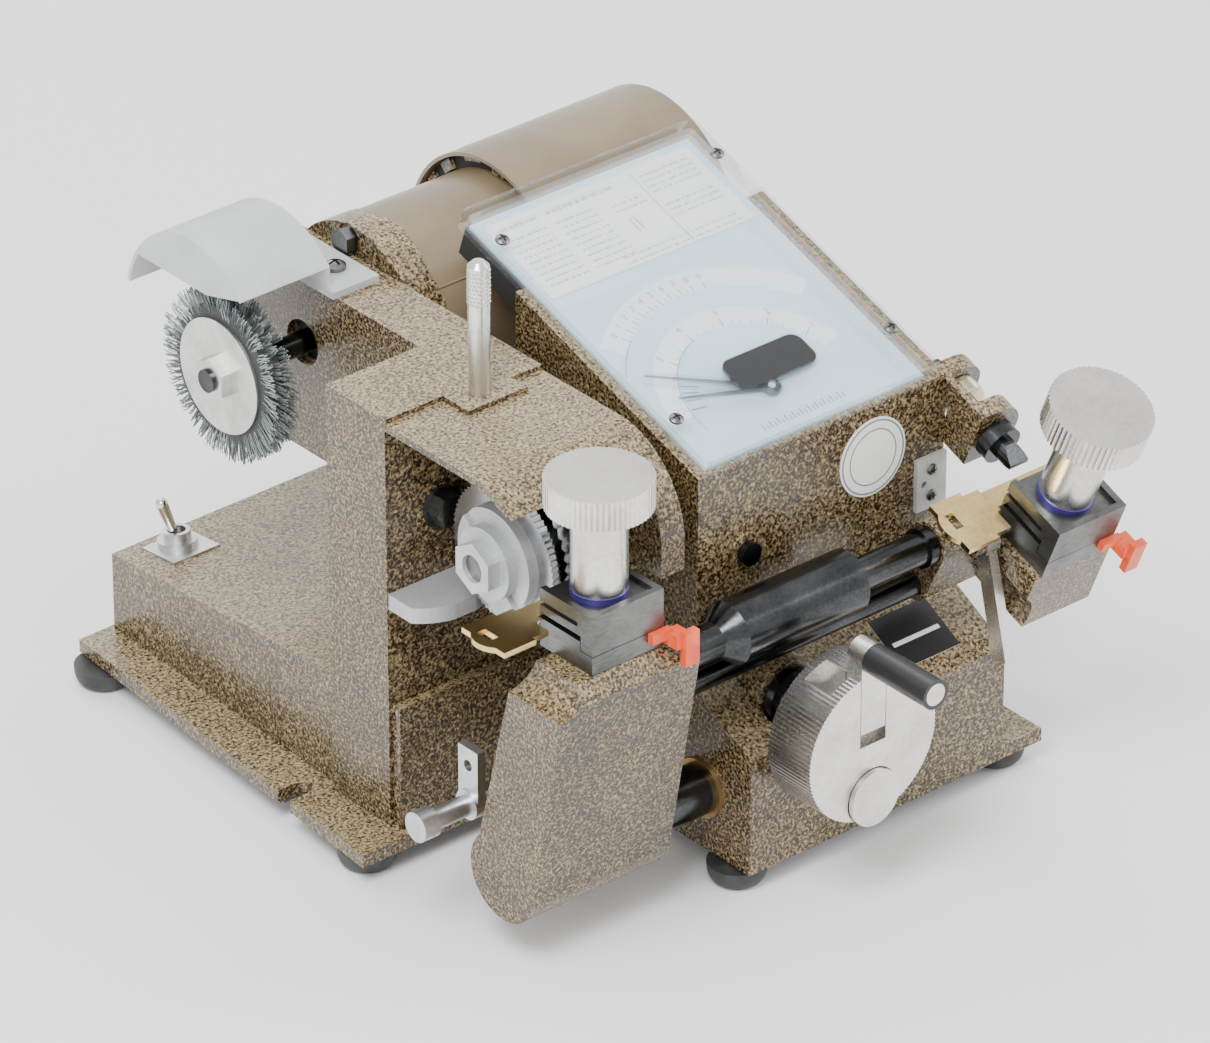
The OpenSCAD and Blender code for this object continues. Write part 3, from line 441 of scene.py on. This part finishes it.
for layer in (-0.34, 0.0, 0.34):
    for tuft in range(TUFTS):
        angle = 2 * math.pi * (tuft + layer) / TUFTS + random.uniform(-0.012, 0.012)
        splay = random.uniform(-1.0, 1.0)
        for _ in range(WIRES):
            off = random.uniform(-1.5, 1.5)
            side = layer * BRUSH_W + random.uniform(-1.0, 1.0)
            tip = BRUSH_R - 0.4 - random.uniform(0, 3.4)
            wave = random.uniform(0, 6.28)
            points = []
            for k in range(6):
                t = k / 5
                radial = 22 + (tip - 22) * t
                wiggle = math.sin(wave + t * 9) * 0.5 * t
                spread = (off + splay * 1.3 * t) * (0.55 + 0.45 * t) + wiggle
                across = max(-BRUSH_W / 2 + 0.5, min(BRUSH_W / 2 - 0.5, side * (0.7 + 0.5 * t)))
                local = Vector((
                    radial * math.cos(angle) - spread * math.sin(angle),
                    radial * math.sin(angle) + spread * math.cos(angle), across,
                ))
                points.append(at_brush @ (local * MM))
            wire(bristles, points, 0.3 * MM)
brush_wires = piece("brush_wires", bristles, wire_gray, "motor", smooth=False)
core = bmesh.new()
lathe(core, [(23.5, -4.5), (30, -4.2), (30, 4.2), (23.5, 4.5)], at_brush, 80)
packed_wire = shade("packed_wire", Roughness=0.8, Base_Color=(0.05, 0.055, 0.055, 1))[0]
piece("brush_core", core, packed_wire, "motor")
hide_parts("brush_bristles")
turned_steel = metal("turned_steel", (0.70, 0.70, 0.68), (0.48, 0.48, 0.46), 0.3, stretch=(6, 1, 1),
                     grain=160)
finish_in(turned_steel, "brush_hub")
soften(0.35, "brush_hub")
frosted, frosted_shader = shade(
    "frosted_plastic", Roughness=0.42, IOR=1.47, Alpha=0.9, Transmission_Weight=0.25, Subsurface_Weight=0.1,
)
frost_tree = frosted.node_tree
frost_place = add(frost_tree, "ShaderNodeTexCoord")
frost_cloud = add(frost_tree, "ShaderNodeTexNoise", Vector=frost_place.outputs["Object"], Scale=60,
                  Detail=4.0)
FROST_TONES = [(0.3, (0.62, 0.63, 0.64)), (0.7, (0.74, 0.75, 0.76))]
frost_tone = ramp(frost_tree, frost_cloud.outputs["Fac"], FROST_TONES)
frost_tree.links.new(frost_tone, frosted_shader.inputs["Base Color"])
finish_in(frosted, "brush_guard")
soften(0.4, "brush_guard")

# Spindle: a ground shaft in two bearings with two toothed cutter wheels, clamped by a light cast
# nut with lugs. A knurled nickel pin through the arm locks the notched disc against its spring.
ground_steel = metal("ground_steel", (0.55, 0.56, 0.57), (0.33, 0.34, 0.35), 0.22, stretch=(4, 1, 1),
                     grain=200)
finish_in(ground_steel, "cutter_wheels", "spindle_bearings")
finish_in(dark_steel, "spindle_shaft", "lock_spring")
finish_in(cast_gray, "cutter_nut", "spindle_pulley")
soften(0.8, "cutter_nut")
satin_nickel = metal("satin_nickel", (0.80, 0.785, 0.75), (0.60, 0.585, 0.55), 0.27, grain=420, relief=0.1)
finish_in(satin_nickel, "lock_pin")
soften(0.3, "lock_pin")
pin_low, pin_high = (Vector(v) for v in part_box("lock_pin"))
pin_axis = (pin_low + pin_high) / 2
PIN_R = 4.5
KNURL_ROWS = 9
KNURL_COUNT = 18
knurl = bmesh.new()
for row in range(KNURL_ROWS):
    for k in range(KNURL_COUNT):
        a = 2 * math.pi * (k + (row % 2) / 2) / KNURL_COUNT
        centre_z = pin_high.z - (4.0 + row * 1.75) * MM
        out = Vector((math.cos(a), math.sin(a), 0))
        along = Vector((-math.sin(a), math.cos(a), 0))
        middle = Vector((pin_axis.x, pin_axis.y, centre_z)) + out * PIN_R * MM
        corners = [middle + along * 0.85 * MM, middle + Vector((0, 0, 0.95 * MM)),
                   middle - along * 0.85 * MM, middle - Vector((0, 0, 0.95 * MM))]
        ring = [knurl.verts.new(c - out * 0.15 * MM) for c in corners]
        peak = knurl.verts.new(middle + out * 0.45 * MM)
        for s in range(4):
            knurl.faces.new((ring[s], ring[(s + 1) % 4], peak))
        knurl.faces.new(ring)
piece("pin_knurl", knurl, satin_nickel, "pin", smooth=False)

# Dial housing: a hollow casting with a sloping top. A clear acrylic tray, screwed at its corners,
# covers a pale blue printed dial with a card of tables above it, two needles, and a dark badge.
finish_in(hammertone, "dial_housing", "tracer_holder")
soften(1.4, "dial_housing", segments=3)
soften(0.8, "tracer_holder")
finish_in(cast_gray, "holder_plate")
finish_in(shade("black_card", Roughness=0.6, Base_Color=(0.015, 0.015, 0.016, 1))[0], "panel_back")
PANEL_SLOPE = math.radians(18.6)
PANEL_W = 124
DIAL_AT = (56.5, 26)
COVER_H = 8.5
# The tray leans back, so its top edge reaches further forward than its lower one.
cover_corner = Vector(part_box("dial_cover")[0])
tray_corner = cover_corner + Vector((0, COVER_H * MM * math.sin(PANEL_SLOPE), 0))
panel = Matrix.Translation(tray_corner) @ Matrix.Rotation(PANEL_SLOPE, 4, "X")


def on_panel(u, v, w):
    return panel @ (Vector((u, v, w)) * MM)


acrylic = shade(
    "acrylic", Base_Color=(0.93, 0.975, 1.0, 1), Roughness=0.04, IOR=1.3, Transmission_Weight=1.0, Alpha=0.2,
    Specular_IOR_Level=0.6,
)[0]
finish_in(acrylic, "dial_cover")
soften(0.8, "dial_cover", segments=3)

dial_paper, dial_shader = shade("dial_paper", Roughness=0.45)
dial_tree = dial_paper.node_tree
dial_place = add(dial_tree, "ShaderNodeTexCoord")
dial_cloud = add(dial_tree, "ShaderNodeTexNoise", Vector=dial_place.outputs["Object"], Scale=14, Detail=2.0)
DIAL_TONES = [(0.3, (0.50, 0.70, 0.80)), (0.7, (0.62, 0.79, 0.87))]
dial_tone = ramp(dial_tree, dial_cloud.outputs["Fac"], DIAL_TONES)
dial_tree.links.new(dial_tone, dial_shader.inputs["Base Color"])
finish_in(dial_paper, "dial_face")

card_white = shade("card_white", Roughness=0.5, Base_Color=(0.90, 0.91, 0.90, 1))[0]
pale_print = shade("pale_print", Roughness=0.5, Base_Color=(0.80, 0.89, 0.93, 1))[0]
gray_print = shade("gray_print", Roughness=0.5, Base_Color=(0.16, 0.19, 0.22, 1))[0]
FACE_TOP = 1.58
CARD_TOP = 1.95


def flat_box(bm, u0, v0, u1, v1, w, thick=0.06):
    prism(bm, [(u0, v0), (u1, v0), (u1, v1), (u0, v1)], w, w + thick, panel)


card = bmesh.new()
flat_box(card, 8.2, 107.2, PANEL_W - 8.2, 152.8, CARD_TOP - 0.02, 0.1)
piece("card", card, card_white, "root", smooth=False)
bands = bmesh.new()
for inner, outer, start, end in ((59, 70, 38, 134), (38, 48, 14, 176)):
    outline = round_points(outer, start, end, 60, DIAL_AT) + round_points(inner, end, start, 60, DIAL_AT)
    prism(bands, outline, FACE_TOP, FACE_TOP + 0.05, panel)
piece("dial_bands", bands, pale_print, "root", smooth=False)

marks = bmesh.new()
random.seed(23)


def arc_line(radius, start, end, width=0.35):
    outline = round_points(radius + width / 2, start, end, 40, DIAL_AT)
    outline += round_points(radius - width / 2, end, start, 40, DIAL_AT)
    prism(marks, outline, FACE_TOP + 0.06, FACE_TOP + 0.1, panel)


def tick(radius0, radius1, angle, width=0.4):
    a = math.radians(angle)
    out = Vector((math.cos(a), math.sin(a)))
    side = Vector((-out.y, out.x)) * width / 2
    middle = Vector(DIAL_AT)
    corners = [middle + out * radius0 - side, middle + out * radius1 - side,
               middle + out * radius1 + side, middle + out * radius0 + side]
    prism(marks, [tuple(c) for c in corners], FACE_TOP + 0.06, FACE_TOP + 0.1, panel)


arc_line(59, 125, 147)
arc_line(38, 106, 189)
outer_angles = [126 - 5.45 * k for k in range(10)]
inner_angles = [28, 52, 80.5, 106, 131.5]
for angle in outer_angles:
    tick(59, 63, angle)
    tick(59, 61, angle - 2.7, 0.25)
for k in range(24):
    tick(38, 40, 30 + 6.4 * k, 0.25)
for angle in inner_angles:
    tick(38, 42, angle)
for angle in (150, 156, 163, 171):
    tick(30, 37, angle, 0.6)


def digit(text, u, v, size):
    """The outline of a figure, taken from the built-in font and laid on the panel."""
    curve = bpy.data.curves.new("figure", "FONT")
    curve.body = text
    curve.size = size
    curve.align_x = "CENTER"
    curve.align_y = "CENTER"
    holder = bpy.data.objects.new("figure", curve)
    outline = holder.to_mesh()
    start = len(marks.verts)
    marks.from_mesh(outline)
    marks.verts.ensure_lookup_table()
    for vert in marks.verts[start:]:
        vert.co = on_panel(u + vert.co.x, v + vert.co.y, FACE_TOP + 0.12)
    holder.to_mesh_clear()
    bpy.data.objects.remove(holder)
    bpy.data.curves.remove(curve)


for figure, angle in enumerate(outer_angles):
    a = math.radians(angle)
    digit(str(figure), DIAL_AT[0] + 66 * math.cos(a), DIAL_AT[1] + 66 * math.sin(a), 4.6)
for figure, angle in enumerate(inner_angles, 1):
    a = math.radians(angle)
    digit(str(figure), DIAL_AT[0] + 45.5 * math.cos(a), DIAL_AT[1] + 45.5 * math.sin(a), 4.6)
for u in range(40, 84, 2):
    flat_box(marks, u, 9, u + 0.6, 11 + 1.5 * (u % 4 == 0), FACE_TOP + 0.05)
piece("dial_marks", marks, gray_print, "root", smooth=False)

tables = bmesh.new()
TABLE_W = CARD_TOP + 0.1


def dashes(u0, v, length, size=0.62):
    """A row of short marks that reads as small print."""
    u = u0
    while u < u0 + length:
        run = random.choice((0.7, 1.0, 1.5, 2.2))
        flat_box(tables, u, v, min(u + run, u0 + length), v + size, TABLE_W, 0.05)
        u += run + random.choice((0.5, 0.6, 1.3))


for u0, length in ((12, 20), (37, 20)):
    for row in range(9):
        dashes(u0, 141 - row * 3.5, length, 1.0)
for row in range(2):
    dashes(50, 112 - row * 3.2, 60, 1.0)
for u0, top, rows, length in ((86, 147, 4, 26), (86, 129, 3, 26), (64, 138, 2, 16)):
    for row in range(rows):
        dashes(u0, top - row * 3.2, length, 1.0)
for u0, v, length in ((12, 147, 20), (37, 147, 34)):
    dashes(u0, v, length, 1.9)
for u in (66, 68.5):
    flat_box(tables, u, 122, u + 0.8, 130, TABLE_W, 0.05)
flat_box(tables, 83, 108.5, 83.5, 151.5, TABLE_W, 0.05)
table_print = shade("table_print", Roughness=0.6, Base_Color=(0.42, 0.43, 0.45, 1))[0]
piece("card_tables", tables, table_print, "root", smooth=False)

label_film = shade("label_film", Roughness=0.32, Base_Color=(0.80, 0.80, 0.77, 1))[0]
dark_film = shade("dark_film", Roughness=0.3, Base_Color=(0.022, 0.022, 0.024, 1))[0]
finish_in(label_film, "labels")
badge = bmesh.new()
BADGE = (41, 17, 5)
corner_points = []
for cu, cv, start in ((1, 1, 0), (-1, 1, 90), (-1, -1, 180), (1, -1, 270)):
    corner = (63 + cu * (BADGE[0] / 2 - BADGE[2]), 36 + cv * (BADGE[1] / 2 - BADGE[2]))
    corner_points += round_points(BADGE[2], start, start + 90, 8, corner)
prism(badge, corner_points, 4.9, 6.2, panel)
piece("dark_badge", badge, dark_film, "root")
needle_dark = shade("needle_dark", Roughness=0.35, Metallic=0.4, Base_Color=(0.06, 0.07, 0.08, 1))[0]
finish_in(needle_dark, "depth_pointer", "space_pointer")

housing_low = Vector(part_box("dial_housing")[0])
LEDGE_FRONT = 64
LEDGE_RISE = math.atan2(18, 33)
NAME_U = 88.5
NAME_W = 31
BAR_INSET = 3
ledge_corner = Matrix.Translation((housing_low.x, housing_low.y, LEDGE_FRONT * MM))
ledge = ledge_corner @ Matrix.Rotation(LEDGE_RISE, 4, "X")
name_film = bmesh.new()
name_right = NAME_U + NAME_W
prism(name_film, [(NAME_U, 9), (name_right, 9), (name_right, 34), (NAME_U, 34)], 0.4, 0.7, ledge)
piece("name_label", name_film, dark_film, "root", smooth=False)
name_bar = bmesh.new()
bar_left = NAME_U + BAR_INSET
bar_right = name_right - BAR_INSET
prism(name_bar, [(bar_left, 19), (bar_right, 19), (bar_right, 21), (bar_left, 21)], 0.65, 0.78, ledge)
piece("name_label_bar", name_bar, card_white, "root", smooth=False)
sticker = bmesh.new()
STICKER_AT = (70, -88.25, 155.5)
at_sticker = axes_at(Vector(STICKER_AT) * MM, (0, -1, 0))
for outer, inner in ((16.6, 15.9), (12.6, 12.1)):
    lathe(sticker, [(inner, -0.05), (outer, -0.05), (outer, 0.12), (inner, 0.12)], at_sticker)
piece("sticker_rings", sticker, gray_print, "root", smooth=False)

# Tracer: a black ground pin with a chisel tip in a painted holder on the housing's right side, set
# by a knurled brass micrometer ring.
brass = metal("brass", (0.83, 0.65, 0.33), (0.60, 0.43, 0.17), 0.2, grain=500)
pale_brass = metal("pale_brass", (0.80, 0.74, 0.55), (0.62, 0.55, 0.36), 0.26, grain=500)
finish_in(black_steel, "tracer_pin", "stop_pin")
finish_in(pale_brass, "micrometer_ring")
soften(0.3, "tracer_pin", "micrometer_ring", "stop_pin")
LEAN = math.radians(22)
ring_low, ring_high = (Vector(v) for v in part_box("micrometer_ring"))
ring_middle = (ring_low + ring_high) / 2
tracer_out = Vector((0, -math.cos(LEAN), -math.sin(LEAN)))
at_ring = axes_at(ring_middle, tracer_out)
RING_R = 9.5
ring_ribs = bmesh.new()
for k in range(64):
    a = 2 * math.pi * k / 64
    outline = [(RING_R * math.cos(a + d) * s, RING_R * math.sin(a + d) * s)
               for d, s in ((-0.028, 0.985), (0, 1.035), (0.028, 0.985))]
    prism(ring_ribs, outline, -3.6, 3.0, at_ring)
piece("ring_ribs", ring_ribs, pale_brass, "micrometer", smooth=False)

# Carriage: two hammered castings joined by polished black rods, one with a turned sleeve, swinging
# on a black shaft that slides in bronze bushes. The leaves' lacquer is a little finer than the base's, with
# a little less painted top light.
leaf_lacquer = hammered("leaf_lacquer", LACQUER_TONES, speck=820, painted_top_light=0.05, relief=0.4)
finish_in(leaf_lacquer, "left_leaf", "right_leaf")
finish_in(black_steel, "tie_rods", "carriage_shaft")
finish_in(metal("bronze", (0.62, 0.42, 0.20), (0.42, 0.27, 0.12), 0.34), "shaft_bushes")
finish_in(dark_steel, "carriage_rack")
soften(2.2, "left_leaf", segments=4)
soften(1.2, "right_leaf", segments=3)
soften(0.5, "tie_rods", "shaft_bushes")

# Vises: dark steel jaws with ground fronts, closed by satin nickel knobs on polished stems. A
# purple ring shows under each stem, and a key blank of yellow brass lies in each vise.
jaw_steel = metal("jaw_steel", (0.20, 0.205, 0.20), (0.10, 0.105, 0.10), 0.36, stretch=(1, 1, 5), grain=260)
finish_in(jaw_steel, "left_lower_jaw", "left_upper_jaw", "right_lower_jaw", "right_upper_jaw")
soften(0.4, "left_lower_jaw", "left_upper_jaw", "right_lower_jaw", "right_upper_jaw")
finish_in(satin_nickel, "left_knob", "right_knob")
soften(0.35, "left_knob", "right_knob")
anodised = shade("anodised_purple", Roughness=0.3, Metallic=0.7, Base_Color=(0.10, 0.07, 0.33, 1))[0]
left_low, left_high = (Vector(v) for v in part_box("left_knob"))
left_axis = (left_low + left_high) / 2
jaw_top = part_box("left_upper_jaw")[1][2] - 2 * MM
VISE_PITCH = 206 * MM
shaft_low, shaft_high = (Vector(v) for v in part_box("carriage_shaft"))
pivot = Vector((0, (shaft_low.y + shaft_high.y) / 2, (shaft_low.z + shaft_high.z) / 2))
lean_over = Matrix.Translation(pivot) @ Matrix.Rotation(LEAN, 4, "X") @ Matrix.Translation(-pivot)
right_vise = lean_over @ Matrix.Translation((VISE_PITCH, 0, 0))
knob_top = (left_high.z - jaw_top) / MM
for side, matrix, body in (("left", Matrix(), "left_screw"), ("right", right_vise, "right_screw")):
    place = matrix @ Matrix.Translation((left_axis.x, left_axis.y, jaw_top))
    ring = bmesh.new()
    lathe(ring, [(11.0, 0.05), (11.9, 0.05), (11.9, 2.6), (11.0, 2.6)], place)
    piece(f"{side}_stem_ring", ring, anodised, body)
    cap = bmesh.new()
    rim = [(0.01, -0.5), (19.5, -0.5), (20.6, -0.05), (19.9, 0.02), (19.2, -0.2), (0.01, -0.2)]
    lathe(cap, [(r, knob_top + h) for r, h in rim], place)
    piece(f"{side}_knob_bevel", cap, bright_nickel, body)

finish_in(brass, "keys")
soften(0.3, "keys")
finish_in(rubbery("clip_red", (0.72, 0.075, 0.02), 0.35), "tip_stops")
soften(0.8, "tip_stops", segments=3)

# Handwheel: a satin nickel wheel with fine straight knurling, on a black stepped hub. A slotted
# arm slides across it with a black crank handle, and a plain disc fills the finger hole.
finish_in(satin_nickel, "handwheel", "crank_arm", "finger_disc", "gauge_lever")
soften(0.5, "finger_disc", "crank_arm", "gauge_lever")
finish_in(black_steel, "drive_pinion")
handle_black = shade("handle_black", Roughness=0.3, Base_Color=(0.02, 0.02, 0.021, 1))[0]
finish_in(handle_black, "crank_handle")
soften(0.8, "crank_handle", segments=3)

# Latch rod: a zinc plated rod with a turned cap, carrying a pressed dog with a hole. All of it is
# one node, in one zinc finish.
finish_in(zinc, "latch_rod")
soften(0.5, "latch_rod")
